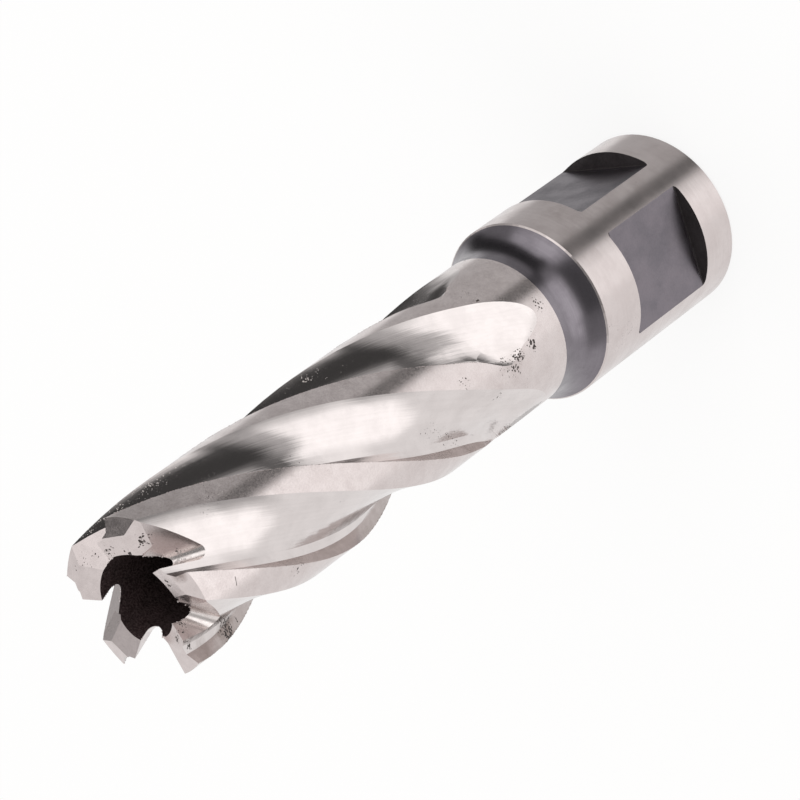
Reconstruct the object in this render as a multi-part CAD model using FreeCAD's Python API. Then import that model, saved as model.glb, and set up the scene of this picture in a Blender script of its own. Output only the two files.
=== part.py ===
import FreeCAD, Part
import math
import os

# Annular cutter ground from one blank. Millimetres and degrees.
# It stands on its shank end with the teeth up. The origin is the centre of the shank end, +Z is
# the axis, and the ridge between the two set-screw flats faces the front, -Y.

# Shank
shank_diameter = 19.05
shank_length = 23.0
shank_end_chamfer = 0.3
shank_front_chamfer = 0.15
flat_start = 4.9
flat_length = 12.25
flat_depth = 1.7
flat_corner_radius = 0.4
flat_spread = 90.0

# Neck between the shank and the cutting body
neck_length = 4.8
neck_diameter = 15.7
neck_straight = 0.9
neck_shoulder_inset = 0.15

# Cutting body
body_diameter = 16.0
body_length = 56.0
body_edge_chamfer = 0.08

# Bores
core_diameter = 8.5
core_floor_inset = 2.7
pilot_diameter = 6.4
pilot_mouth_chamfer = 0.4

# Flutes, right-hand
tooth_count = 5
tooth_phase = 28.6
flute_lead = 106.8
land_angle = 21.5
flute_depth = 1.85
flute_corner = 0.6
flute_floor_bow = 0.3

# Where the flutes run out towards the neck
run_out_inset = 0.6
run_out_length = 7.4
run_out_shift = 32.0
run_out_heel_pull = 4.0
run_out_bow_loss = 0.9
run_out_lift = 0.4
rise_end_inset = 6.4
rise_length = 12.0

# Teeth: two bevels meet at a crest and fall back from the cutting edge
crest_inset = 1.72
outer_bevel = 15.0
inner_bevel = 16.7
relief_angle = 12.4

# Gullet in front of each tooth, a slanted vee that leads from the bore out into the flute
rake_offset = 1.48
rake_angle = 18.1
rake_skew = 2.3
gullet_drop = 0.09
gullet_outward_fall = 41.5
gullet_heel_rise = 34.4
gullet_root_radius = 0.8

# Facet between the gullet and the heel of the next tooth
heel_facet_start = 2.22
heel_facet_drop = 0.77
heel_facet_outward_fall = 31.8
heel_facet_rise = 29.25

# Room that cutting tools take beyond the metal they remove, and their size
clear = 0.4
overrun = 0.8
flute_tool_height = 3.0
gullet_tool_start = 3.0
reach = 12.0

# Sections along a flute
straight_step = 4.0
run_out_steps = 8


def sine(angle):
    return math.sin(math.radians(angle))


def cosine(angle):
    return math.cos(math.radians(angle))


def slope(angle):
    return math.tan(math.radians(angle))


origin = FreeCAD.Vector(0, 0, 0)
up = FreeCAD.Vector(0, 0, 1)
shank_radius = shank_diameter / 2.0
body_radius = body_diameter / 2.0
body_start = shank_length + neck_length
corner_height = body_start + body_length
crest_radius = body_radius - crest_inset
crest_height = corner_height + crest_inset * slope(outer_bevel)
pitch_angle = 360.0 / tooth_count
blank_height = crest_height + heel_facet_start * slope(relief_angle) + clear
run_out_end = body_start + run_out_inset
run_out_start = run_out_end + run_out_length
rise_start = body_start + rise_end_inset + rise_length


def polar(radius, angle, height):
    return FreeCAD.Vector(radius * cosine(angle), radius * sine(angle), height)


def arc(start, middle, end):
    return Part.Arc(start, middle, end).toShape()


def turned_blank():
    """The turned shape as one profile: shank, hollow neck curve, body and the stepped bore.

    The shank's wall has three faces, a collar at each end and the stretch that the flats interrupt."""
    core_radius = core_diameter / 2.0
    core_floor = body_start + core_floor_inset
    pilot_radius = pilot_diameter / 2.0
    neck_radius = neck_diameter / 2.0
    shoulder_radius = shank_radius - neck_shoulder_inset
    curve_length = neck_length - neck_straight
    curve_rise = shoulder_radius - neck_radius
    curve_radius = (curve_length ** 2 + curve_rise ** 2) / (2.0 * curve_rise)
    half_turn = math.degrees(math.atan2(curve_rise, curve_length))
    curve_end = shank_length + curve_length
    curve_middle = FreeCAD.Vector(neck_radius + curve_radius * (1.0 - cosine(half_turn)), 0.0,
                                  curve_end - curve_radius * sine(half_turn))

    corners = [FreeCAD.Vector(radius, 0.0, height) for radius, height in (
        (neck_radius, curve_end),
        (neck_radius, body_start),
        (body_radius - body_edge_chamfer, body_start),
        (body_radius, body_start + body_edge_chamfer),
        (body_radius, blank_height),
        (core_radius, blank_height),
        (core_radius, core_floor + core_radius - pilot_radius),
        (pilot_radius, core_floor),
        (pilot_radius, pilot_mouth_chamfer),
        (pilot_radius + pilot_mouth_chamfer, 0.0),
        (shank_radius - shank_end_chamfer, 0.0),
        (shank_radius, shank_end_chamfer),
        (shank_radius, flat_start + flat_corner_radius),
        (shank_radius, flat_start + flat_length - flat_corner_radius),
        (shank_radius, shank_length - shank_front_chamfer),
        (shoulder_radius, shank_length),
    )]
    edges = [Part.makeLine(a, b) for a, b in zip(corners, corners[1:])]
    edges.append(arc(corners[-1], curve_middle, corners[0]))
    return Part.Face(Part.Wire(edges)).revolve(origin, up, 360.0)


def shank_flat(direction):
    """Cutter for one set-screw flat: a slot with closed ends and rounded bottom corners."""
    floor = shank_radius - flat_depth
    outside = shank_radius + clear
    low = flat_start
    high = flat_start + flat_length
    corner = flat_corner_radius
    inset = corner * (1.0 - cosine(45.0))

    def at(radius, height):
        return FreeCAD.Vector(radius, -shank_radius, height)

    outline = Part.Wire([
        Part.makeLine(at(outside, low), at(floor + corner, low)),
        arc(at(floor + corner, low), at(floor + inset, low + inset), at(floor, low + corner)),
        Part.makeLine(at(floor, low + corner), at(floor, high - corner)),
        arc(at(floor, high - corner), at(floor + inset, high - inset), at(floor + corner, high)),
        Part.makeLine(at(floor + corner, high), at(outside, high)),
        Part.makeLine(at(outside, high), at(outside, low)),
    ])
    slot = Part.Face(outline).extrude(FreeCAD.Vector(0, shank_diameter, 0))
    slot.rotate(origin, up, direction)
    return slot


def leading_edge_angle(height):
    return tooth_phase + 360.0 * (height - corner_height) / flute_lead


def flute_section(height):
    """Flute outline at one height: radial leading wall, eased corner, hollow floor, open outer side.

    Towards the neck the grinding wheel leaves the work: the floor rises until the leading wall
    is gone, then its edge moves over to the heel side and the flute narrows to nothing."""
    run = max(0.0, run_out_start - height) / run_out_length
    rise = min(1.0, max(0.0, rise_start - height) / rise_length)
    lead = leading_edge_angle(height) + run_out_shift * run
    heel = leading_edge_angle(height) + pitch_angle - land_angle - run_out_heel_pull * run ** 2
    root = body_radius - flute_depth * (1.0 - rise ** 2) + run_out_lift * run ** 2
    outside = root + flute_tool_height
    corner_angle = math.degrees(flute_corner / root)
    wall_foot = polar(root + flute_corner, lead, height)
    floor_start = polar(root, lead + corner_angle, height)
    heel_edge = polar(max(root, body_radius), heel, height)
    chord = heel_edge - floor_start
    chord.normalize()
    inward = FreeCAD.Vector(-chord.y, chord.x, 0.0)
    floor_end = heel_edge + chord * overrun
    bow = flute_floor_bow * (1.0 - run_out_bow_loss * run)
    floor_middle = (floor_start + floor_end) * 0.5 + inward * bow
    open_heel = polar(outside, heel + corner_angle, height)
    open_middle = polar(outside, (lead + heel + corner_angle) / 2.0, height)
    open_lead = polar(outside, lead, height)
    return Part.Wire([
        Part.makeLine(open_lead, wall_foot),
        Part.makeLine(wall_foot, floor_start),
        arc(floor_start, floor_middle, floor_end),
        Part.makeLine(floor_end, open_heel),
        arc(open_heel, open_middle, open_lead),
    ])


def flute():
    """Cutter for one flute, lofted along its helix from the run-out to past the teeth."""
    straight = blank_height + clear - run_out_start
    straight_steps = math.ceil(straight / straight_step)
    heights = [run_out_end + run_out_length * n / run_out_steps for n in range(run_out_steps)]
    heights += [run_out_start + straight * n / straight_steps for n in range(straight_steps + 1)]
    return Part.makeLoft([flute_section(height) for height in heights], True, False)


def end_height(x, y):
    """Height of a tooth's end in the tooth's own frame, x outwards and y the way it cuts."""
    outer = crest_height + (crest_radius - x) * slope(outer_bevel)
    inner = crest_height + (x - crest_radius) * slope(inner_bevel)
    return min(outer, inner) + y * slope(relief_angle)


def tooth_end():
    """Cutter over one tooth: what stands above its two bevels, from gullet to gullet."""
    lid_height = blank_height + reach
    stations = (0.0, crest_radius, reach)
    outlines = []
    for y in (-reach, heel_facet_start):
        roof = [FreeCAD.Vector(x, y, end_height(x, y)) for x in stations]
        lid = [FreeCAD.Vector(reach, y, lid_height), FreeCAD.Vector(0.0, y, lid_height)]
        outlines.append(Part.makePolygon(roof + lid + roof[:1]))
    block = Part.makeLoft(outlines, True, True)
    corner = FreeCAD.Vector(-2.0 * reach, heel_facet_start - 2.0 * reach, corner_height - 3.0 * reach)
    previous_tooth = Part.makeBox(4.0 * reach, 2.0 * reach, 6.0 * reach, corner)
    return block.cut(around(previous_tooth, -1))


def gullet():
    """Cutter for one gullet: a long vee with a rounded root between rake face and slope."""
    rake_normal = FreeCAD.Vector(slope(rake_skew), 1.0, -slope(rake_angle))
    slope_normal = FreeCAD.Vector(slope(gullet_outward_fall), -slope(gullet_heel_rise), 1.0)
    along = rake_normal.cross(slope_normal)
    along.normalize()
    up_rake = along.cross(rake_normal)
    up_rake.normalize()
    up_slope = slope_normal.cross(along)
    up_slope.normalize()
    # The root line crosses the tooth's middle plane where rake face and slope meet
    rake_lean = slope(rake_angle)
    rise = slope(gullet_heel_rise)
    root_y = (rake_offset - rake_lean * gullet_drop) / (1.0 - rake_lean * rise)
    root = FreeCAD.Vector(0.0, root_y, corner_height - gullet_drop + root_y * rise)
    half = up_rake.getAngle(up_slope) / 2.0
    middle = up_rake + up_slope
    middle.normalize()
    on_rake = root + up_rake * gullet_root_radius / math.tan(half)
    on_slope = root + up_slope * gullet_root_radius / math.tan(half)
    lowest = root + middle * gullet_root_radius * (1.0 / math.sin(half) - 1.0)
    outline = Part.Wire([
        Part.makeLine(root + up_rake * reach, on_rake),
        arc(on_rake, lowest, on_slope),
        Part.makeLine(on_slope, root + up_slope * reach),
        Part.makeLine(root + up_slope * reach, root + up_rake * reach),
    ])
    vee = Part.Face(outline).extrude(along * 2.0 * reach)
    vee.translate(-along * gullet_tool_start)
    return vee


def heel_facet():
    """Cutter for the facet that eases the slope up to the heel of the next tooth."""
    foot = FreeCAD.Vector(0.0, 0.0, corner_height - heel_facet_drop)
    normal = FreeCAD.Vector(slope(heel_facet_outward_fall), -slope(heel_facet_rise), 1.0)
    normal.normalize()
    start = FreeCAD.Vector(0.0, heel_facet_start, foot.z + heel_facet_start * slope(heel_facet_rise))
    uphill = FreeCAD.Vector(0.0, 1.0, slope(heel_facet_rise))
    uphill.normalize()
    outwards = uphill.cross(normal)
    outwards.normalize()
    corners = [start, start + uphill * reach, start + (uphill + outwards) * reach, start + outwards * reach]
    return Part.Face(Part.makePolygon(corners + corners[:1])).extrude(normal * reach)


def around(shape, step):
    copy = shape.copy()
    copy.rotate(origin, up, pitch_angle * step)
    return copy


def annular_cutter():
    flute_tool = flute()
    end_tools = [tooth_end(), gullet(), heel_facet()]
    for tool in end_tools:
        tool.rotate(origin, up, tooth_phase)
    shape = turned_blank()
    for side in (-0.5, 0.5):
        shape = shape.cut(shank_flat(side * flat_spread - 90.0))
    for step in range(tooth_count):
        shape = shape.cut(around(flute_tool, step))
    for tool in end_tools:
        for step in range(tooth_count):
            shape = shape.cut(around(tool, step))
    return shape.Solids[0]


os.makedirs("parts", exist_ok=True)
cutter = annular_cutter()
cutter.exportStep("parts/annular_cutter.step")
size = cutter.BoundBox
print("valid", cutter.isValid(), "volume", round(cutter.Volume, 1), "height", round(size.ZLength, 3))
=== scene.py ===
import math

import bmesh
import bpy
from mathutils import Matrix, Vector


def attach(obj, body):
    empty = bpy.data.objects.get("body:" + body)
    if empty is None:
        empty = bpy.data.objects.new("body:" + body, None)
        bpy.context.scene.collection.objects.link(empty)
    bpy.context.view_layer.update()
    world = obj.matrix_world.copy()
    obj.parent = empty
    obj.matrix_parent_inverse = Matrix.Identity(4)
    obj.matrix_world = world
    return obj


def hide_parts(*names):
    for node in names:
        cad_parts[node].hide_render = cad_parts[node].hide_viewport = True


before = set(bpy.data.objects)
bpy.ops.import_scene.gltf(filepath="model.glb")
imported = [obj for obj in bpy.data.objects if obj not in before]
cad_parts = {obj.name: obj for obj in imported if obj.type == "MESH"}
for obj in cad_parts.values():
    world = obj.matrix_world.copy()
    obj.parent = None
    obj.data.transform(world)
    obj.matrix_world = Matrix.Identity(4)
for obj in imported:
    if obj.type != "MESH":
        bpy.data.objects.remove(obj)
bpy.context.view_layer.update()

# An annular cutter that stands on its shank end, teeth up, seen from above its left front.
# Lengths in the dictionaries are millimetres and angles are degrees unless a note says otherwise.

mm = 0.001  # the frame is in metres
micrometre = 0.001 * mm
scene = bpy.context.scene
scene.view_settings.view_transform = "Standard"

# The solid's own sizes, which its finishes and true normals follow
cutter = {
    "shankRadius": 9.525,
    "shankLength": 23.0,
    "neckLength": 4.8,
    "neckRadius": 7.85,
    "neckStraight": 0.9,  # plain stretch of the neck beside the body
    "shoulderRadius": 9.375,  # where the neck's hollow meets the shank
    "bodyRadius": 8.0,
    "bodyLength": 56.0,  # up to the teeth's outer corners
    "coreRadius": 4.25,
    "toothCount": 5,
    "toothPhase": 28.6,
    "fluteLead": 106.8,  # height in which a flute turns once round
    "landAngle": 21.5,
    "fluteDepth": 1.85,
    "fluteCorner": 0.6,  # the foot between a flute's wall and floor
    "fluteBow": 0.3,  # rise of the floor's arc over its chord
    "runOutInset": 0.6,  # from the body's start to where the flutes end
    "runOutLength": 7.4,
    "runOutShift": 32.0,  # how far the wall swings round in the run-out
    "runOutHeelPull": 4.0,
    "runOutBowLoss": 0.9,  # share of the bow that is gone at the end
    "runOutLift": 0.4,
    "riseEndInset": 6.4,
    "riseLength": 12.0,  # height over which the floor rises
    "overrun": 0.8,  # how far the floor's arc goes on past the heel
    "outerBevel": 15.0,
    "innerBevel": 16.7,
    "relief": 12.4,
    "rakeOffset": 1.48,
    "rakeAngle": 18.1,
    "rakeSkew": 2.3,
    "gulletDrop": 0.09,
    "gulletFall": 41.5,
    "gulletRise": 34.4,
    "gulletRoot": 0.8,
    "facetFall": 31.8,
    "facetRise": 29.25,
}
pitch = 360.0 / cutter["toothCount"]
bodyStart = cutter["shankLength"] + cutter["neckLength"]
cornerHeight = bodyStart + cutter["bodyLength"]
runOutStart = bodyStart + cutter["runOutInset"] + cutter["runOutLength"]
riseStart = bodyStart + cutter["riseEndInset"] + cutter["riseLength"]


def linear(hexColour):
    # sRGB hex to the linear colour that shaders take
    values = [int(hexColour[i:i + 2], 16) / 255 for i in (1, 3, 5)]
    return tuple(v / 12.92 if v <= 0.04045 else ((v + 0.055) / 1.055) ** 2.4 for v in values) + (1.0,)


def addNode(tree, kind, settings=None, links=None):
    # One node with its settings; an input is set by name or number, from a value or another node's socket
    node = tree.nodes.new(kind)
    for name, value in (settings or {}).items():
        setattr(node, name, value)
    for key, value in (links or {}).items():
        if isinstance(value, bpy.types.NodeSocket):
            tree.links.new(value, node.inputs[key])
        else:
            node.inputs[key].default_value = value
    return node


def largest(tree, values):
    # The largest of several sockets' values
    found = values[0]
    for value in values[1:]:
        found = addNode(tree, "ShaderNodeMath", {"operation": "MAXIMUM"}, {0: found, 1: value}).outputs[0]
    return found


# Camera, from the photograph: it looks down on the standing cutter and is turned on its side
photoView = {
    "place": (-94.79, -260.43, 304.0),
    "target": (0.407, -0.149, 43.848),
    "roll": -126.141,
    "lens": 180.19,
    "sensor": 36.0,
    "clip": (20.0, 20000.0),
}


def makeCamera(values):
    camera = bpy.data.objects.new("photoCamera", bpy.data.cameras.new("photoCamera"))
    scene.collection.objects.link(camera)
    place = Vector(values["place"]) * mm
    look = (Vector(values["target"]) * mm - place).to_track_quat("-Z", "Y").to_matrix().to_4x4()
    roll = Matrix.Rotation(math.radians(values["roll"]), 4, "Z")
    camera.matrix_world = Matrix.Translation(place) @ look @ roll
    camera.data.lens = values["lens"]
    camera.data.sensor_width = values["sensor"]
    camera.data.clip_start = values["clip"][0] * mm
    camera.data.clip_end = values["clip"][1] * mm
    scene.camera = camera
    print("camera made")


makeCamera(photoView)

# Studio: pale floor and world
studio = {
    "floorSize": 6000.0,
    "floorColour": "#F4F3F2",
    "floorWhite": 0.8,  # share of plain white that the camera sees, through which the shadow still shows
    "worldColour": "#F6F5F4",
    "worldStrength": 1.05,
}


def bareMaterial(name):
    material = bpy.data.materials.new(name)
    material.use_nodes = True
    material.node_tree.nodes.clear()
    return material, material.node_tree


def makeFloor(values):
    half = values["floorSize"] * mm / 2
    corners = [(-half, -half, 0), (half, -half, 0), (half, half, 0), (-half, half, 0)]
    mesh = bpy.data.meshes.new("studioFloor")
    mesh.from_pydata(corners, [], [(0, 1, 2, 3)])
    floor = bpy.data.objects.new("studioFloor", mesh)
    scene.collection.objects.link(floor)
    # Painted board: matt and off-white, so it shows nothing but a soft shadow
    material, tree = bareMaterial("paintedBoard")
    rays = addNode(tree, "ShaderNodeLightPath").outputs
    seen = largest(tree, [rays["Is Camera Ray"], rays["Is Glossy Ray"], rays["Is Transmission Ray"]])
    share = addNode(tree, "ShaderNodeMath", {"operation": "MULTIPLY"},
                    {0: seen, 1: values["floorWhite"]}).outputs[0]
    paint = addNode(tree, "ShaderNodeBsdfDiffuse", None, {"Color": linear(values["floorColour"])})
    white = addNode(tree, "ShaderNodeEmission", None, {"Color": (1, 1, 1, 1), "Strength": 1.0})
    mix = addNode(tree, "ShaderNodeMixShader", None, {0: share, 1: paint.outputs[0], 2: white.outputs[0]})
    addNode(tree, "ShaderNodeOutputMaterial", None, {"Surface": mix.outputs[0]})
    mesh.materials.append(material)
    floor.visible_glossy = False


def makeWorld(values):
    world = bpy.data.worlds.new("studioWorld")
    scene.world = world
    world.use_nodes = True
    tree = world.node_tree
    tree.nodes.clear()
    background = addNode(tree, "ShaderNodeBackground", None,
                         {"Color": linear(values["worldColour"]), "Strength": values["worldStrength"]})
    addNode(tree, "ShaderNodeOutputWorld", None, {"Surface": background.outputs[0]})


makeFloor(studio)
makeWorld(studio)

# Two soft lamps, which shade the dull parts and throw the shadow; the bright steel mirrors the tent instead
lamps = {
    "keyBox": {"azimuth": -68, "elevation": 35, "distance": 600, "size": 420, "power": 0.5},
    "fillBox": {"azimuth": 165, "elevation": 50, "distance": 800, "size": 500, "power": 0.6},
}


def direction(azimuth, elevation):
    a, e = math.radians(azimuth), math.radians(elevation)
    return Vector((math.cos(a) * math.cos(e), math.sin(a) * math.cos(e), math.sin(e)))


def makeLamps(values):
    for name, lamp in values.items():
        data = bpy.data.lights.new(name, "AREA")
        data.shape = "DISK"
        data.size = lamp["size"] * mm
        data.energy = lamp["power"]
        light = bpy.data.objects.new(name, data)
        scene.collection.objects.link(light)
        towards = direction(lamp["azimuth"], lamp["elevation"])
        light.location = Vector((0, 0, cornerHeight / 2 * mm)) + towards * lamp["distance"] * mm
        light.rotation_mode = "QUATERNION"
        light.rotation_quaternion = towards.to_track_quat("Z", "Y")
        light.visible_glossy = False


makeLamps(lamps)
print("studio made")

# What the bright steel mirrors: a pale tent all round, below it too, with lit, grey and dark panels.
# Only reflections see it. Each panel has its middle, half size and soft edge in azimuth and elevation,
# and lies over those before it.
tent = {
    "radius": 1400.0,
    "step": 3,  # degrees between the tent's corners
    "tone": 0.88,  # of the bare cloth, where 1 is white
    "panels": {
        "lowGlow": {"at": (-136, -24), "half": (32, 13), "soft": (16, 7), "tone": 1.32},
        "underGlow": {"at": (-130, -51), "half": (14, 8), "soft": (12, 6), "tone": 1.08},
        "greyCard": {"at": (-39, -28), "half": (51, 26), "soft": (11, 12), "tone": 0.48},
        "greyEdge": {"at": (-79, -46), "half": (6, 10), "soft": (9, 8), "tone": 0.13},
        "darkCard": {"at": (-23, -18), "half": (47, 13), "soft": (18, 8), "tone": 0.05},
        "behindCamera": {"at": (-124, 25), "half": (34, 20), "soft": (12, 10), "tone": 0.17},
        "leftCard": {"at": (-172, 14), "half": (12, 18), "soft": (12, 10), "tone": 0.42},
        "rightCard": {"at": (-8, 10), "half": (14, 14), "soft": (8, 8), "tone": 0.38},
        "lowLight": {"at": (-46, 11), "half": (17, 12), "soft": (8, 8), "tone": 1.12},
        "sideCard": {"at": (38, 0), "half": (10, 8), "soft": (8, 8), "tone": 0.3},
        "backCard": {"at": (34, 42), "half": (8, 8), "soft": (10, 8), "tone": 0.55},
        "topCard": {"at": (29, 66), "half": (22, 9), "soft": (8, 8), "tone": 0.05},
        "softBox": {"at": (-68, 34), "half": (12, 24), "soft": (8, 8), "tone": 1.25},
    },
}


def edgeShare(distance, half, soft):
    share = min(1.0, max(0.0, (half + soft - distance) / soft))
    return share * share * (3 - 2 * share)


def tentTone(values, azimuth, elevation):
    tone = values["tone"]
    for panel in values["panels"].values():
        across = abs((azimuth - panel["at"][0] + 180) % 360 - 180)
        share = edgeShare(across, panel["half"][0], panel["soft"][0])
        share *= edgeShare(abs(elevation - panel["at"][1]), panel["half"][1], panel["soft"][1])
        tone += (panel["tone"] - tone) * share
    return tone


def makeTent(values):
    around = range(-180, 180, values["step"])
    upwards = range(-90, 91, values["step"])
    places = [(azimuth, elevation) for elevation in upwards for azimuth in around]
    faces = []
    for row in range(len(upwards) - 1):
        for n in range(len(around)):
            here, beside = row * len(around) + n, row * len(around) + (n + 1) % len(around)
            faces.append((here, beside, beside + len(around), here + len(around)))
    mesh = bpy.data.meshes.new("studioTent")
    mesh.from_pydata([direction(*place) * values["radius"] * mm for place in places], [], faces)
    tone = mesh.color_attributes.new("tone", "FLOAT_COLOR", "POINT")
    for data, place in zip(tone.data, places):
        data.color = (tentTone(values, *place),) * 3 + (1,)
    cloth = bpy.data.objects.new("studioTent", mesh)
    scene.collection.objects.link(cloth)
    # Lit cloth: even light, which gives steel broad soft bands, with grey and dark where a panel hangs
    material, tree = bareMaterial("studioCloth")
    grey = addNode(tree, "ShaderNodeAttribute", {"attribute_name": "tone"})
    light = addNode(tree, "ShaderNodeEmission", None, {"Color": grey.outputs["Color"], "Strength": 1.0})
    addNode(tree, "ShaderNodeOutputMaterial", None, {"Surface": light.outputs[0]})
    mesh.materials.append(material)
    cloth.visible_camera = False
    cloth.visible_diffuse = False
    cloth.visible_shadow = False
    cloth.visible_transmission = False


makeTent(tent)
print("tent made")


# The surface that each face of the cutter belongs to, and that surface's true normal
def polar(radius, angle):
    return Vector((radius * math.cos(math.radians(angle)), radius * math.sin(math.radians(angle))))


def leadingEdge(z, turns):
    return cutter["toothPhase"] + 360.0 * (z - cornerHeight) / cutter["fluteLead"] + turns * pitch


def fluteSection(z, turns):
    # Wall foot, start of the floor, the floor's circle and the wall's angle at height z
    run = max(0.0, (runOutStart - z) / cutter["runOutLength"])
    rise = min(1.0, max(0.0, (riseStart - z) / cutter["riseLength"]))
    lead = leadingEdge(z, turns) + cutter["runOutShift"] * run
    heel = leadingEdge(z, turns) + pitch - cutter["landAngle"] - cutter["runOutHeelPull"] * run ** 2
    root = cutter["bodyRadius"] - cutter["fluteDepth"] * (1 - rise ** 2) + cutter["runOutLift"] * run ** 2
    foot = polar(root + cutter["fluteCorner"], lead)
    start = polar(root, lead + math.degrees(cutter["fluteCorner"] / root))
    heelEdge = polar(max(root, cutter["bodyRadius"]), heel)
    chord = (heelEdge - start).normalized()
    end = heelEdge + chord * cutter["overrun"]
    bow = max(cutter["fluteBow"] * (1.0 - cutter["runOutBowLoss"] * run), 0.01)
    inward = Vector((-chord.y, chord.x))
    half = (end - start).length / 2
    radius = (half ** 2 + bow ** 2) / (2 * bow)
    centre = (start + end) / 2 + inward * (bow - radius)
    return foot, start, centre, radius, lead


def floorField(x, y, z, turns):
    foot, start, centre, radius, lead = fluteSection(z, turns)
    return radius - (Vector((x, y)) - centre).length


def bevelField(x, y, z, turns):
    foot, start, centre, radius, lead = fluteSection(z, turns)
    along = (start - foot).normalized()
    return (Vector((x, y)) - foot).dot(Vector((along.y, -along.x)))


def wallField(x, y, z, turns):
    side = polar(1.0, fluteSection(z, turns)[4] + 90)
    return side.x * x + side.y * y


# How the normals of the flutes are made
shading = {
    # Turn about the axis at each share of the way from the wall's foot to the heel
    "floorTurn": ((0.0, -13.0), (0.2, -12.0), (0.4, -2.0), (0.6, 2.0), (1.0, 0.0)),
    # How far above the run-out, and over what height, the faces' mean normal gives way to the true one
    "floorFade": (1.5, 5.0),
    "wallFade": (-1.0, 2.0),
    "evenRounds": 8,
    "landDepth": 0.35,  # at the run-out's end the floor shades as the land does, within this depth
    "landHeight": 3,  # and more so all the way down this height
    "leastFacing": 0.5,  # cosine below which a face keeps its own normal
}


def acrossFloor(x, y, z, turns):
    start = fluteSection(z, turns)[1]
    heel = leadingEdge(z, turns) + pitch - cutter["landAngle"]
    chord = polar(cutter["bodyRadius"], heel) - start
    return min(1.0, max(0.0, (Vector((x, y)) - start).dot(chord) / chord.length_squared))


def turnFloor(normal, across):
    # The wheel leaves the floor flatter than one arc beside the wall, which shows in what it mirrors
    steps = shading["floorTurn"]
    for (low, lowTurn), (high, highTurn) in zip(steps, steps[1:]):
        if low <= across <= high:
            turn = lowTurn + (highTurn - lowTurn) * (across - low) / (high - low)
    return Matrix.Rotation(math.radians(turn), 3, "Z") @ normal


fluteFields = {"fluteFloor": floorField, "fluteBevel": bevelField, "fluteWall": wallField}


def gradient(field, point, turns):
    # The way in which the distance to a surface grows fastest
    step = 0.01
    x, y, z = point
    change = Vector((
        field(x + step, y, z, turns) - field(x - step, y, z, turns),
        field(x, y + step, z, turns) - field(x, y - step, z, turns),
        field(x, y, z + step, turns) - field(x, y, z - step, turns),
    ))
    return change.normalized()


def slope(angle):
    return math.tan(math.radians(angle))


toothPlanes = {
    "outerBevel": Vector((slope(cutter["outerBevel"]), -slope(cutter["relief"]), 1)),
    "innerBevel": Vector((-slope(cutter["innerBevel"]), -slope(cutter["relief"]), 1)),
    "rakeFace": Vector((slope(cutter["rakeSkew"]), 1, -slope(cutter["rakeAngle"]))),
    "gulletSlope": Vector((slope(cutter["gulletFall"]), -slope(cutter["gulletRise"]), 1)),
    "heelFacet": Vector((slope(cutter["facetFall"]), -slope(cutter["facetRise"]), 1)),
}


def gulletAxis():
    # A point on the axis of the gullet's rounded root, and its direction, in the tooth's own frame
    rake, rising = toothPlanes["rakeFace"], toothPlanes["gulletSlope"]
    along = rake.cross(rising).normalized()
    upRake = along.cross(rake).normalized()
    upSlope = rising.cross(along).normalized()
    lean, rise = slope(cutter["rakeAngle"]), slope(cutter["gulletRise"])
    y = (cutter["rakeOffset"] - lean * cutter["gulletDrop"]) / (1 - lean * rise)
    root = Vector((0, y, cornerHeight - cutter["gulletDrop"] + y * rise))
    half = upRake.angle(upSlope) / 2
    return root + (upRake + upSlope).normalized() * cutter["gulletRoot"] / math.sin(half), along


rootCentre, rootAlong = gulletAxis()


def toRootAxis(point, step):
    # From a point to the nearest point of the axis of one gullet's root
    turn = Matrix.Rotation(math.radians(cutter["toothPhase"] + step * pitch), 3, "Z")
    offset = turn.inverted() @ Vector(point) - rootCentre
    return turn @ (rootAlong * offset.dot(rootAlong) - offset)


# How a face is told: a gap is how far its middle may lie from the surface, a facing is the least cosine
# between its normal and the surface's, and a fall is how much its normal may rise or fall
telling = {
    "seam": 0.001,
    "endTop": 0.45,  # the shank's end and its chamfer lie below it
    "boreGap": 0.02,
    "boreFacing": 0.9,
    "boreTop": 40,  # below it all that lies within the core's radius is bore
    "boreWallFall": 0.2,
    "shankGap": 0.08,
    "shankFacing": 0.97,
    "shankEdge": 0.2,  # height of the chamfer in front of the shank
    "shankEdgeFacing": 0.6,
    "uprightFall": 0.05,
    "neckInset": 0.02,
    "landGap": 0.06,
    "landFacing": 0.985,
    "bodyEdge": 0.1,  # height of the chamfer behind the body
    "teethHeight": 14,  # the gullets reach no lower than this below the corners
    "planeFacing": 0.9998,
    "rootGap": 0.05,
    "rootFacing": 0.9,
    "fluteGap": 0.2,
    "fluteFacing": 0.85,
}


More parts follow.
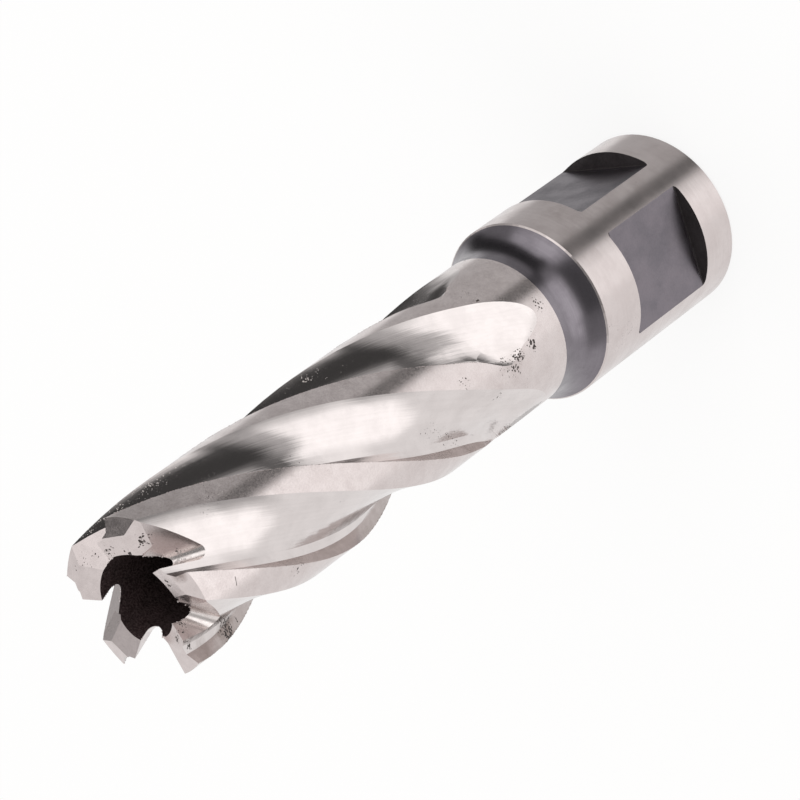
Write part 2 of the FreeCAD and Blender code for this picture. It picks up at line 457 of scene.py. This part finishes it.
def surfaceOf(centre, normal):
    # Name of the surface, and which flute or gullet it lies in where that matters
    x, y, z = centre
    radius = math.hypot(x, y)
    outwards = (normal.x * x + normal.y * y) / max(radius, 1e-6)
    if z < telling["endTop"]:
        return "shankEnd", 0
    if radius < cutter["coreRadius"] + telling["boreGap"]:
        if outwards < -telling["boreFacing"] or z < telling["boreTop"]:
            return "bore", 0
    if z < cutter["shankLength"] - telling["seam"]:
        if abs(radius - cutter["shankRadius"]) < telling["shankGap"] and outwards > telling["shankFacing"]:
            return "shankWall", 0
        if outwards > telling["shankEdgeFacing"] and z > cutter["shankLength"] - telling["shankEdge"]:
            return "shankEdge", 0
        # The flats' end walls and corner fillets take the milled ends' finish, whose darker grey is painted
        # shade
        return ("flatFloor", 0) if abs(normal.z) < telling["uprightFall"] else ("flatEnd", 0)
    if z < bodyStart - telling["neckInset"]:
        return "neck", 0
    if abs(radius - cutter["bodyRadius"]) < telling["landGap"] and outwards > telling["landFacing"]:
        return "land", 0
    if z < bodyStart + telling["bodyEdge"] and radius > cutter["neckRadius"]:
        return "bodyEdge", 0
    if z > cornerHeight - telling["teethHeight"]:
        for step in range(cutter["toothCount"]):
            turn = Matrix.Rotation(math.radians(cutter["toothPhase"] + step * pitch), 3, "Z")
            for name, plane in toothPlanes.items():
                if (turn @ plane).normalized().dot(normal) > telling["planeFacing"]:
                    return name, 0
            inwards = toRootAxis(centre, step)
            gap = abs(inwards.length - cutter["gulletRoot"])
            if gap < telling["rootGap"] and inwards.normalized().dot(normal) > telling["rootFacing"]:
                return "gulletRoot", step
    turns = math.floor((math.degrees(math.atan2(y, x)) - leadingEdge(z, 0)) / pitch)
    best, found, kept = telling["fluteGap"], "chip", 0
    for turn in (turns - 1, turns, turns + 1):
        for name, field in fluteFields.items():
            distance = abs(field(x, y, z, turn))
            if distance < best and gradient(field, centre, turn).dot(normal) > telling["fluteFacing"]:
                best, found, kept = distance, name, turn
    return found, kept


def neckNormal(x, y, z):
    outwards = Vector((x, y, 0)).normalized()
    if z > bodyStart - cutter["neckStraight"] + telling["seam"]:
        return outwards
    length = cutter["neckLength"] - cutter["neckStraight"]
    rise = cutter["shoulderRadius"] - cutter["neckRadius"]
    hollowCentre = outwards * (cutter["neckRadius"] + (length ** 2 + rise ** 2) / (2 * rise))
    hollowCentre.z = bodyStart - cutter["neckStraight"]
    return (hollowCentre - Vector((x, y, z))).normalized()


def fluteNormal(surface, turns, point, average):
    x, y, z = point
    normal = gradient(fluteFields[surface], point, turns)
    start, height = shading["wallFade"] if surface == "fluteWall" else shading["floorFade"]
    share = min(1.0, max(0.0, (z - runOutStart - start) / height))
    if average and share < 1:
        # The wall and its foot run out into the floor near the neck
        normal = (normal * share + average.normalized() * (1 - share)).normalized()
    if surface != "fluteFloor" and share == 1:
        return normal
    across = acrossFloor(x, y, z, turns)
    normal = turnFloor(normal, across)
    if z < runOutStart:
        # The floor's end fades into the land, and its heel stays crisp
        near = max(0.0, 1 - (cutter["bodyRadius"] - math.hypot(x, y)) / shading["landDepth"])
        near *= min(1.0, (runOutStart - z) / shading["landHeight"]) * (1 - across ** 2)
        normal = (normal * (1 - near) + Vector((x, y, 0)).normalized() * near).normalized()
    return normal


def trueNormal(surface, turns, point, flat, average):
    x, y, z = point
    if surface in ("shankWall", "land"):
        return Vector((x, y, 0)).normalized()
    if surface == "flatEnd":
        return Vector((0, 0, math.copysign(1, flat.z)))
    if surface == "bore" and abs(flat.z) < telling["boreWallFall"]:
        return Vector((-x, -y, 0)).normalized()
    if surface == "neck":
        return neckNormal(x, y, z)
    if surface == "gulletRoot":
        return toRootAxis(point, turns).normalized()
    if surface in fluteFields:
        return fluteNormal(surface, turns, point, average)
    return flat


# Marks in the photograph: each spot is x, y, z, reach and strength, each scratch two ends and a width.
# Pits and dust are finer than this on the real cutter, and are drawn as coarse as the render shows them.
wear = {
    "pitSize": 0.28,
    "dustSize": 0.24,
    "pitEdge": 0.1,  # softness of a grain's edge, in shares of its cell
    "dustEdge": 0.06,
    "spotCore": 0.3,  # share of a spot's reach within which it is strongest
    "scratchCore": 0.4,
    "bendReach": 0.3,  # how far the grains' outlines are bent
    # Size, detail and roughness of the noise that breaks each mark up
    "noises": {
        "bend": (0.2, 2.0, 0.5),
        "ragged": (0.5, 2.0, 0.6),
        "sparse": (6.0, 1.0, 0.6),
        "mottle": (0.8, 5.0, 0.7),
        "film": (3.0, 2.0, 0.6),
    },
    # The noise, its low and high value, and the least and most that they become
    "spreads": {
        "few": ("sparse", 0.56, 0.75, 0.0, 0.5),
        "ragged": ("ragged", 0.3, 0.66, 0.22, 0.8),
        "mottled": ("mottle", 0.35, 0.6, 0.35, 1.0),
        "thin": ("film", 0.5, 0.7, 0.0, 0.13),
        "drift": ("ragged", 0.3, 0.65, 0.1, 0.42),
    },
    # Tint and strength of each mark, from the lowest layer up
    "layers": {
        "Stain": ("#6E5B50", 0.85),  # brown rust film
        "Dust": ("#B4ACA8", 0.8),  # pale grinding dust
        "Pits": ("#3A3230", 1.0),  # rust-black pits and scratches
    },
    "spoiltRoughness": 0.75,
    "stainRoughness": 0.5,  # share of that which a stain gives
    "pits": (
        (-2.7, -7.3, 29.3, 1.3, 0.8), (-3.4, -5.8, 32.1, 0.9, 0.5), (-4.1, -5.2, 34.0, 1.1, 0.8),
        (-5.4, -5.9, 35.0, 1.3, 1.0), (-5.2, -6.1, 32.6, 1.2, 1.0), (-4.9, -5.3, 37.1, 1.8, 0.7),
        (-5.8, -5.4, 35.9, 1.5, 0.8), (-4.3, -6.8, 43.2, 1.4, 0.6), (-6.0, -3.6, 38.4, 1.4, 0.6),
        (-5.6, -2.2, 40.2, 1.0, 0.5), (-6.6, 2.8, 34.5, 1.6, 0.6), (-5.5, -4.0, 62.5, 1.0, 0.3),
        (2.4, -7.6, 34.9, 1.8, 0.4), (1.0, -7.9, 34.7, 0.5, 0.8), (6.3, -4.9, 27.9, 0.6, 0.7),
        (2.0, -5.5, 82.8, 1.3, 0.9), (2.6, -3.6, 83.4, 0.8, 0.9), (4.0, -2.9, 84.0, 1.1, 0.8),
        (-1.0, -4.7, 80.9, 1.4, 0.9), (-2.1, -4.4, 83.8, 0.9, 1.0), (-2.8, -6.3, 83.7, 1.0, 0.6),
        (-4.6, -0.3, 82.8, 0.9, 1.0), (-5.4, -0.1, 83.9, 1.1, 1.0), (-6.4, 0.4, 83.5, 0.9, 1.0),
        (-5.9, 3.7, 76.2, 2.3, 1.0), (-5.4, 4.9, 73.6, 1.0, 0.8), (6.0, 0.9, 83.4, 1.4, 0.5),
        (5.6, 0.3, 82.9, 0.9, 0.5), (6.5, 2.1, 83.9, 0.5, 0.9),
    ),
    "dust": (
        (7.9, -1.2, 79.4, 2.6, 1.0), (7.8, -1.7, 77.7, 2.4, 1.0), (7.5, -2.4, 76.3, 2.3, 0.9),
        (7.2, -3.1, 74.8, 2.4, 1.0), (6.9, -3.9, 72.6, 2.4, 0.8), (6.6, -4.4, 70.0, 2.4, 0.5),
        (7.9, 0.2, 81.5, 2.0, 0.8), (6.2, -4.9, 67.0, 2.4, 0.3),
        (6.4, -3.5, 53.0, 1.3, 1.0), (5.8, -4.1, 51.7, 1.7, 0.6), (5.0, -4.7, 50.0, 1.6, 0.4),
        (1.6, -7.8, 61.0, 3.0, 0.3), (1.2, -7.9, 75.0, 3.0, 0.4),
    ),
    "stains": (
        (0.9, -5.7, 81.6, 2.2, 0.16), (-0.4, -5.2, 80.8, 1.4, 0.2), (-2.9, -6.4, 83.8, 0.9, 0.9),
        (-5.9, 3.6, 76.3, 2.6, 0.9), (-6.9, 1.7, 81.6, 1.8, 0.45), (-6.5, 2.8, 79.0, 2.2, 0.2),
        (-5.3, -0.2, 83.4, 1.6, 0.25),
        (-5.5, -5.9, 36.0, 2.4, 0.22), (-6.9, -4.2, 39.5, 2.6, 0.16), (-6.2, -5.0, 43.0, 2.2, 0.12),
        (3.5, -8.9, 18.6, 2.4, 0.6), (5.4, -7.8, 17.6, 1.5, 0.5),
    ),
    "scratches": (
        (-6.0, -2.3, 80.4, -5.9, -0.6, 79.4, 0.05), (-5.8, -5.5, 79.1, -6.3, -4.9, 79.2, 0.06),
        (-0.3, -6.6, 78.2, 0.0, -6.5, 79.2, 0.04), (-2.0, -6.5, 73.4, -2.1, -6.4, 72.4, 0.05),
        (-5.9, 2.0, 79.7, -5.6, 3.9, 76.6, 0.08),
    ),
}


def spotMask(tree, place, spots):
    masks = []
    for x, y, z, reach, strength in spots:
        away = addNode(tree, "ShaderNodeVectorMath", {"operation": "DISTANCE"},
                       {0: place, 1: (x * mm, y * mm, z * mm)}).outputs["Value"]
        masks.append(addNode(tree, "ShaderNodeMapRange", None, {
            "Value": away, "From Min": reach * mm, "From Max": wear["spotCore"] * reach * mm,
            "To Max": strength,
        }).outputs[0])
    return largest(tree, masks)


def scratchMask(tree, place, scratches):
    masks = []
    for *ends, width in scratches:
        start, end = Vector(ends[:3]) * mm, Vector(ends[3:]) * mm
        length, way = (end - start).length, (end - start).normalized()
        offset = addNode(tree, "ShaderNodeVectorMath", {"operation": "SUBTRACT"},
                         {0: place, 1: start}).outputs[0]
        along = addNode(tree, "ShaderNodeVectorMath", {"operation": "DOT_PRODUCT"},
                        {0: offset, 1: way}).outputs["Value"]
        held = addNode(tree, "ShaderNodeClamp", None, {"Value": along, "Min": 0.0, "Max": length}).outputs[0]
        nearest = addNode(tree, "ShaderNodeVectorMath", {"operation": "SCALE"},
                          {0: way, "Scale": held}).outputs[0]
        away = addNode(tree, "ShaderNodeVectorMath", {"operation": "DISTANCE"},
                       {0: offset, 1: nearest}).outputs["Value"]
        masks.append(addNode(tree, "ShaderNodeMapRange", None, {
            "Value": away, "From Min": width * mm, "From Max": wear["scratchCore"] * width * mm,
        }).outputs[0])
    return largest(tree, masks)


def grainMask(tree, place, size, cover, softness):
    # Scattered grains, each as large as the cover there allows
    away = addNode(tree, "ShaderNodeTexVoronoi", None,
                   {"Vector": place, "Scale": 1 / (size * mm)}).outputs["Distance"]
    inside = addNode(tree, "ShaderNodeMath", {"operation": "SUBTRACT"}, {0: cover, 1: away}).outputs[0]
    return addNode(tree, "ShaderNodeMapRange", None, {"Value": inside, "From Max": softness}).outputs[0]


def makeWearGroup(values):
    # One group for all the steel: pits, scratches, stains and dust from a place on the cutter
    tree = bpy.data.node_groups.new("cutterWear", "ShaderNodeTree")
    tree.interface.new_socket("Place", in_out="INPUT", socket_type="NodeSocketVector")
    for name in values["layers"]:
        tree.interface.new_socket(name, in_out="OUTPUT", socket_type="NodeSocketFloat")
    place = addNode(tree, "NodeGroupInput").outputs["Place"]
    noises = {}
    for name, (size, detail, roughness) in values["noises"].items():
        noises[name] = addNode(tree, "ShaderNodeTexNoise", None, {
            "Vector": place, "Scale": 1 / (size * mm), "Detail": detail, "Roughness": roughness,
        }).outputs
    wobble = addNode(tree, "ShaderNodeVectorMath", {"operation": "SCALE"},
                     {0: noises["bend"]["Color"], "Scale": values["bendReach"] * mm}).outputs[0]
    bent = addNode(tree, "ShaderNodeVectorMath", {"operation": "ADD"}, {0: place, 1: wobble}).outputs[0]
    spreads = {}
    for name, (noise, low, high, least, most) in values["spreads"].items():
        spreads[name] = addNode(tree, "ShaderNodeMapRange", None, {
            "Value": noises[noise][0], "From Min": low, "From Max": high, "To Min": least, "To Max": most,
        }).outputs[0]

    # Pits crowd in their clusters and are few elsewhere
    crowd = largest(tree, [spotMask(tree, place, values["pits"]), spreads["few"]])
    cover = addNode(tree, "ShaderNodeMath", {"operation": "MULTIPLY"},
                    {0: crowd, 1: spreads["ragged"]}).outputs[0]
    pits = largest(tree, [grainMask(tree, bent, values["pitSize"], cover, values["pitEdge"]),
                          scratchMask(tree, place, values["scratches"])])

    stain = addNode(tree, "ShaderNodeMath", {"operation": "MULTIPLY"},
                    {0: spotMask(tree, place, values["stains"]), 1: spreads["mottled"]}).outputs[0]

    # Dust lies thick in its spots and as a thin film elsewhere
    thick = addNode(tree, "ShaderNodeMath", {"operation": "MULTIPLY"},
                    {0: spotMask(tree, place, values["dust"]), 1: spreads["drift"]}).outputs[0]
    cover = largest(tree, [spreads["thin"], thick])
    dust = grainMask(tree, bent, values["dustSize"], cover, values["dustEdge"])
    addNode(tree, "NodeGroupOutput", None, {"Pits": pits, "Stain": stain, "Dust": dust})
    return tree


wearGroup = makeWearGroup(wear)

# Finishes: grain is the way the tool marks run, their size and how far they stand, in micrometres. Real
# grinding and turning marks are some hundredths of a millimetre apart; they are drawn 0.15 mm apart or
# more, which is as fine as the render shows. Colour and roughness go from the first value to the second in
# soft blotches, bloom is the share of a thin matt film and wear that of the marks above.
finishes = {
    # Shank, cylindrically ground: pale silver whose reflections run in clean stripes, slightly drawn out
    "groundShank": {"colours": ("#DDD3D1", "#D2C7C5"), "roughness": (0.17, 0.26), "blotch": 2.5,
                    "grain": ("around", 0.16, 0.25), "wear": 0.35, "bloom": 0.0},
    # Floors of the set-screw flats, milled and tempered: flat mid grey, a little violet, with faint clouds
    "milledFlat": {"colours": ("#837C82", "#757076"), "roughness": (0.3, 0.42), "blotch": 3.0,
                   "grain": ("even", 0.2, 0.4), "wear": 0.0, "bloom": 0.0},
    # Closed ends of the flats and their corner fillets, as the mill left them: dull, with a darker grey than
    # the floors that is painted shade for the pockets' ends; nearly black where they face the dark
    "milledEndPaintedShade": {"colours": ("#5A5556", "#4A4546"), "roughness": (0.6, 0.75), "blotch": 2.0,
                  "grain": ("even", 0.2, 0.4), "wear": 0.0, "bloom": 0.0},
    # Neck, turned and black from its heat treatment: dark satin, a soft sheen and fine turning rings
    "blackOxide": {"colours": ("#8C868C", "#7E787E"), "roughness": (0.2, 0.27), "blotch": 2.0,
                   "grain": ("around", 0.16, 2.0), "wear": 0.3, "bloom": 0.0},
    # Bores, bored and scaled in hardening: matt brown-black that shows hardly any form
    "boreScale": {"colours": ("#463737", "#382C2B"), "roughness": (0.7, 0.9), "blotch": 1.5,
                  "grain": ("around", 0.3, 1.0), "wear": 0.0, "bloom": 1.0},
    # Lands, cylindrically ground: bright silver under a faint haze, with pits and fine scratches
    "groundLand": {"colours": ("#DED4D2", "#D2C7C5"), "roughness": (0.14, 0.22), "blotch": 1.6,
                   "grain": ("even", 0.2, 0.15), "wear": 1.0, "bloom": 0.16},
    # Floors of the flutes, ground along the helix: near mirror, drawn out into long streaks
    "groundFlute": {"colours": ("#E6DEDC", "#DCD4D2"), "roughness": (0.11, 0.17), "blotch": 2.2,
                    "grain": ("flute", 0.3, 10.0), "wear": 1.0, "bloom": 0.0},
    # Walls of the flutes, ground by the wheel's side and rubbed by chips: browner and darker than the floors
    "wornWall": {"colours": ("#C0B4B1", "#AFA39F"), "roughness": (0.18, 0.28), "blotch": 1.6,
                 "grain": ("flute", 0.3, 3.0), "wear": 1.0, "bloom": 0.0},
    # Bevels, cutting faces and gullets, ground flat: crisp facets, each of one even tone
    "groundTooth": {"colours": ("#DCD1CF", "#D3C8C6"), "roughness": (0.2, 0.27), "blotch": 0.9,
                    "grain": ("even", 0.15, 0.25), "wear": 1.0, "bloom": 0.08},
    # Rounded roots of the gullets, polished by chips: the brightest steel, with a highlight along each root
    "polishedRoot": {"colours": ("#F0E9E6", "#E2D8D5"), "roughness": (0.22, 0.32), "blotch": 0.8,
                     "grain": ("even", 0.2, 0.2), "wear": 0.4, "bloom": 0.0},
}

# What all the steel has in common
steelLook = {
    "markLength": 0.15,  # cycles in a millimetre along a mark that runs round
    "streakLength": 0.04,  # cycles in a millimetre along a flute
    "blotchShare": 0.7,  # how far the blotches and the marks carry the colour to its second value
    "grainShare": 0.3,
    "filmSize": 0.17,
}


def grainPlace(tree, place, run, size):
    # Coordinates in which the tool marks are long one way and narrow the other
    long, streak, fine = steelLook["markLength"] / mm, steelLook["streakLength"] / mm, 1 / (size * mm)
    if run == "flute":
        height = addNode(tree, "ShaderNodeSeparateXYZ", None, {0: place}).outputs["Z"]
        turned = addNode(tree, "ShaderNodeMath", {"operation": "MULTIPLY"},
                         {0: height, 1: -math.tau / (cutter["fluteLead"] * mm)}).outputs[0]
        place = addNode(tree, "ShaderNodeVectorRotate", {"rotation_type": "Z_AXIS"},
                        {"Vector": place, "Angle": turned}).outputs[0]
    factors = {"around": (long, long, fine), "flute": (fine, fine, streak), "even": (fine, fine, fine)}[run]
    return addNode(tree, "ShaderNodeVectorMath", {"operation": "MULTIPLY"}, {0: place, 1: factors}).outputs[0]


def groundSteel(name, values):
    material, tree = bareMaterial(name)
    place = addNode(tree, "ShaderNodeTexCoord").outputs["Object"]
    run, size, height = values["grain"]
    grain = addNode(tree, "ShaderNodeTexNoise", None,
                    {"Vector": grainPlace(tree, place, run, size), "Scale": 1.0, "Detail": 3.0}).outputs[0]
    cloud = addNode(tree, "ShaderNodeTexNoise", None, {
        "Vector": place, "Scale": 1 / (values["blotch"] * mm), "Detail": 4.0, "Roughness": 0.6,
    }).outputs[0]
    blotch = addNode(tree, "ShaderNodeMapRange", None, {
        "Value": cloud, "From Min": 0.38, "From Max": 0.64, "To Max": steelLook["blotchShare"],
    }).outputs[0]
    uneven = addNode(tree, "ShaderNodeMapRange", None, {
        "Value": grain, "From Min": 0.35, "From Max": 0.65, "To Max": steelLook["grainShare"],
    }).outputs[0]
    share = addNode(tree, "ShaderNodeMath", {"operation": "ADD"}, {0: blotch, 1: uneven}).outputs[0]
    first, second = (linear(colour) for colour in values["colours"])
    colour = addNode(tree, "ShaderNodeMix", {"data_type": "RGBA"}, {0: share, 6: first, 7: second}).outputs[2]
    least, most = values["roughness"]
    rough = addNode(tree, "ShaderNodeMapRange", None,
                    {"Value": share, "To Min": least, "To Max": most}).outputs[0]

    # What hides the bare metal: the finely speckled film, and pits and dust
    covers = []
    if values["bloom"]:
        speckle = addNode(tree, "ShaderNodeTexNoise", None, {
            "Vector": place, "Scale": 1 / (steelLook["filmSize"] * mm), "Detail": 2.0, "Roughness": 0.6,
        }).outputs[0]
        covers.append(addNode(tree, "ShaderNodeMapRange", None, {
            "Value": speckle, "From Min": 0.36, "From Max": 0.66, "To Max": values["bloom"],
        }).outputs[0])
    if values["wear"]:
        found = addNode(tree, "ShaderNodeGroup", {"node_tree": wearGroup}, {"Place": place}).outputs
        marks = {}
        for name, (tint, strength) in wear["layers"].items():
            marks[name] = addNode(tree, "ShaderNodeMath", {"operation": "MULTIPLY"},
                                  {0: found[name], 1: values["wear"] * strength}).outputs[0]
            colour = addNode(tree, "ShaderNodeMix", {"data_type": "RGBA"},
                             {0: marks[name], 6: colour, 7: linear(tint)}).outputs[2]
        stainShare = addNode(tree, "ShaderNodeMath", {"operation": "MULTIPLY"},
                             {0: marks["Stain"], 1: wear["stainRoughness"]}).outputs[0]
        spoilt = addNode(tree, "ShaderNodeMath", {"operation": "MULTIPLY"},
                         {0: largest(tree, [marks["Pits"], stainShare, marks["Dust"]]),
                          1: wear["spoiltRoughness"]}).outputs[0]
        rough = largest(tree, [rough, spoilt])
        covers += [marks["Pits"], marks["Dust"]]
    metallic = 1.0
    if covers:
        metallic = addNode(tree, "ShaderNodeMath", {"operation": "SUBTRACT"},
                           {0: 1.0, 1: largest(tree, covers)}).outputs[0]
    bump = addNode(tree, "ShaderNodeBump", None,
                   {"Strength": 1.0, "Distance": height * micrometre, "Height": grain}).outputs[0]
    steel = addNode(tree, "ShaderNodeBsdfPrincipled", None,
                    {"Base Color": colour, "Metallic": metallic, "Roughness": rough, "Normal": bump})
    addNode(tree, "ShaderNodeOutputMaterial", None, {"Surface": steel.outputs[0]})
    return material


materials = {name: groundSteel(name, values) for name, values in finishes.items()}

# The flats' ends take a darker milled finish, which is painted shade
finishOf = {
    "shankWall": "groundShank", "shankEnd": "groundShank", "shankEdge": "groundShank",
    "flatFloor": "milledFlat", "flatEnd": "milledEndPaintedShade", "neck": "blackOxide", "bore": "boreScale",
    "bodyEdge": "groundLand", "land": "groundLand",
    "fluteFloor": "groundFlute", "fluteBevel": "groundFlute", "fluteWall": "wornWall",
    "outerBevel": "groundTooth", "innerBevel": "groundTooth", "rakeFace": "groundTooth",
    "gulletSlope": "groundTooth", "heelFacet": "groundTooth", "chip": "groundTooth",
    "gulletRoot": "polishedRoot",
}


def evened(normals, faces, rounds):
    # Each corner's normal drawn towards those of its neighbours
    for unused in range(rounds):
        drawn = {corner: normal.normalized() * 2 for corner, normal in normals.items()}
        for face in faces:
            for first, second in face.edge_keys:
                drawn[first] = drawn[first] + normals[second].normalized()
                drawn[second] = drawn[second] + normals[first].normalized()
        normals = drawn
    return normals


def meanNormals(mesh, found):
    # At each corner of the flutes, the mean of its faces' normals
    flutes = [face for face, (surface, turns) in zip(mesh.polygons, found) if surface in fluteFields]
    means = {}
    for face in flutes:
        for corner in face.vertices:
            # Areas in square millimetres
            means[corner] = means.get(corner, Vector((0, 0, 0))) + face.normal * face.area * 1e6
    return evened(means, flutes, shading["evenRounds"])


def skinOf(node, name):
    # A merged copy of the solid's mesh, with a finish and true normals for each surface
    bm = bmesh.new()
    bm.from_mesh(node.data)
    bmesh.ops.remove_doubles(bm, verts=bm.verts, dist=1e-7)
    mesh = bpy.data.meshes.new(name)
    bm.to_mesh(mesh)
    bm.free()
    names = list(materials)
    for finish in names:
        mesh.materials.append(materials[finish])
    found = [surfaceOf(face.center / mm, face.normal) for face in mesh.polygons]
    means = meanNormals(mesh, found)
    normals = [None] * len(mesh.loops)
    for face, (surface, turns) in zip(mesh.polygons, found):
        face.material_index = names.index(finishOf[surface])
        face.use_smooth = True
        for loop in face.loop_indices:
            corner = mesh.loops[loop].vertex_index
            point = mesh.vertices[corner].co / mm
            normal = trueNormal(surface, turns, point, face.normal, means.get(corner))
            normals[loop] = normal if normal.dot(face.normal) > shading["leastFacing"] else face.normal
    mesh.normals_split_custom_set(normals)
    surfaces = [surface for surface, turns in found]
    print("faces of each surface", {surface: surfaces.count(surface) for surface in sorted(set(surfaces))})
    skin = bpy.data.objects.new(name, mesh)
    scene.collection.objects.link(skin)
    return skin, surfaces


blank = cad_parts["annular_cutter"]
skin, surfaces = skinOf(blank, "groundCutter")
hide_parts("annular_cutter")
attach(skin, "root")
print("cutter dressed")

# Burrs: grains of torn steel along the ground edges between two kinds of surface. Keep is the share of the
# places along an edge that have a grain.
burrs = {
    "landBurr": {
        "between": (("land",), ("fluteWall", "fluteBevel")),
        "spacing": 0.09, "grain": 0.05, "keep": 0.55, "seed": 1,
    },
    "boreBurr": {
        "between": (("bore",), ("gulletRoot", "gulletSlope", "rakeFace", "fluteWall")),
        "spacing": 0.25, "grain": 0.1, "keep": 0.45, "seed": 2,
    },
    "toothBurr": {
        "between": (("rakeFace", "gulletSlope"), ("outerBevel", "innerBevel", "heelFacet", "fluteFloor")),
        "spacing": 0.2, "grain": 0.04, "keep": 0.3, "seed": 3,
    },
}


def edgesBetween(mesh, faceSurfaces, first, second):
    beside = {}
    for face, surface in zip(mesh.polygons, faceSurfaces):
        for key in face.edge_keys:
            beside.setdefault(key, []).append(surface)
    return [key for key, pair in beside.items() if len(pair) == 2 and (
        (pair[0] in first and pair[1] in second) or (pair[1] in first and pair[0] in second))]


def makeBurrTree():
    tree = bpy.data.node_groups.new("burrGrains", "GeometryNodeTree")
    sockets = {
        "Geometry": "NodeSocketGeometry", "Spacing": "NodeSocketFloat", "Grain": "NodeSocketFloat",
        "Keep": "NodeSocketFloat", "Seed": "NodeSocketInt", "Steel": "NodeSocketMaterial",
    }
    for name, kind in sockets.items():
        tree.interface.new_socket(name, in_out="INPUT", socket_type=kind)
    tree.interface.new_socket("Geometry", in_out="OUTPUT", socket_type="NodeSocketGeometry")
    given = addNode(tree, "NodeGroupInput").outputs
    curve = addNode(tree, "GeometryNodeMeshToCurve", None, {"Mesh": given["Geometry"]}).outputs[0]
    points = addNode(tree, "GeometryNodeResampleCurve", {"mode": "LENGTH"},
                     {"Curve": curve, "Length": given["Spacing"]}).outputs[0]
    grain = addNode(tree, "GeometryNodeMeshIcoSphere", None, {"Radius": 1.0, "Subdivisions": 1}).outputs[0]
    kept = addNode(tree, "FunctionNodeRandomValue", {"data_type": "BOOLEAN"},
                   {"Probability": given["Keep"], "Seed": given["Seed"]}).outputs[3]
    turn = addNode(tree, "FunctionNodeRandomValue", {"data_type": "FLOAT_VECTOR"},
                   {0: (0, 0, 0), 1: (math.tau, math.tau, math.tau), "Seed": given["Seed"]}).outputs[0]
    # Grains are longer than they are wide, and no two alike
    shape = addNode(tree, "FunctionNodeRandomValue", {"data_type": "FLOAT_VECTOR"},
                    {0: (0.3, 0.3, 0.6), 1: (0.8, 0.9, 1.5), "Seed": given["Seed"]}).outputs[0]
    size = addNode(tree, "ShaderNodeVectorMath", {"operation": "SCALE"},
                   {0: shape, "Scale": given["Grain"]}).outputs[0]
    grains = addNode(tree, "GeometryNodeInstanceOnPoints", None,
                     {"Points": points, "Selection": kept, "Instance": grain, "Rotation": turn,
                      "Scale": size}).outputs[0]
    solid = addNode(tree, "GeometryNodeRealizeInstances", None, {0: grains}).outputs[0]
    dressed = addNode(tree, "GeometryNodeSetMaterial", None,
                      {"Geometry": solid, "Material": given["Steel"]}).outputs[0]
    addNode(tree, "NodeGroupOutput", None, {"Geometry": dressed})
    return tree


def makeBurrs(name, values, tree):
    keys = edgesBetween(skin.data, surfaces, *values["between"])
    used = sorted({vertex for key in keys for vertex in key})
    place = {vertex: n for n, vertex in enumerate(used)}
    mesh = bpy.data.meshes.new(name + "Path")
    mesh.from_pydata([skin.data.vertices[v].co for v in used], [(place[a], place[b]) for a, b in keys], [])
    path = bpy.data.objects.new(name + "Path", mesh)
    scene.collection.objects.link(path)
    modifier = path.modifiers.new("burrGrains", "NODES")
    modifier.node_group = tree
    inputs = {item.name: item.identifier for item in tree.interface.items_tree if item.in_out == "INPUT"}
    settings = {
        "Spacing": values["spacing"] * mm, "Grain": values["grain"] * mm, "Keep": values["keep"],
        "Seed": values["seed"], "Steel": materials["groundTooth"],
    }
    for socket, value in settings.items():
        modifier[inputs[socket]] = value
    bpy.context.view_layer.update()
    evaluated = path.evaluated_get(bpy.context.evaluated_depsgraph_get())
    grains = bpy.data.objects.new(name, bpy.data.meshes.new_from_object(evaluated))
    bpy.data.objects.remove(path)
    scene.collection.objects.link(grains)
    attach(grains, "root")
    print(name, "faces", len(grains.data.polygons))


burrTree = makeBurrTree()
for name, values in burrs.items():
    makeBurrs(name, values, burrTree)
print("burrs made")
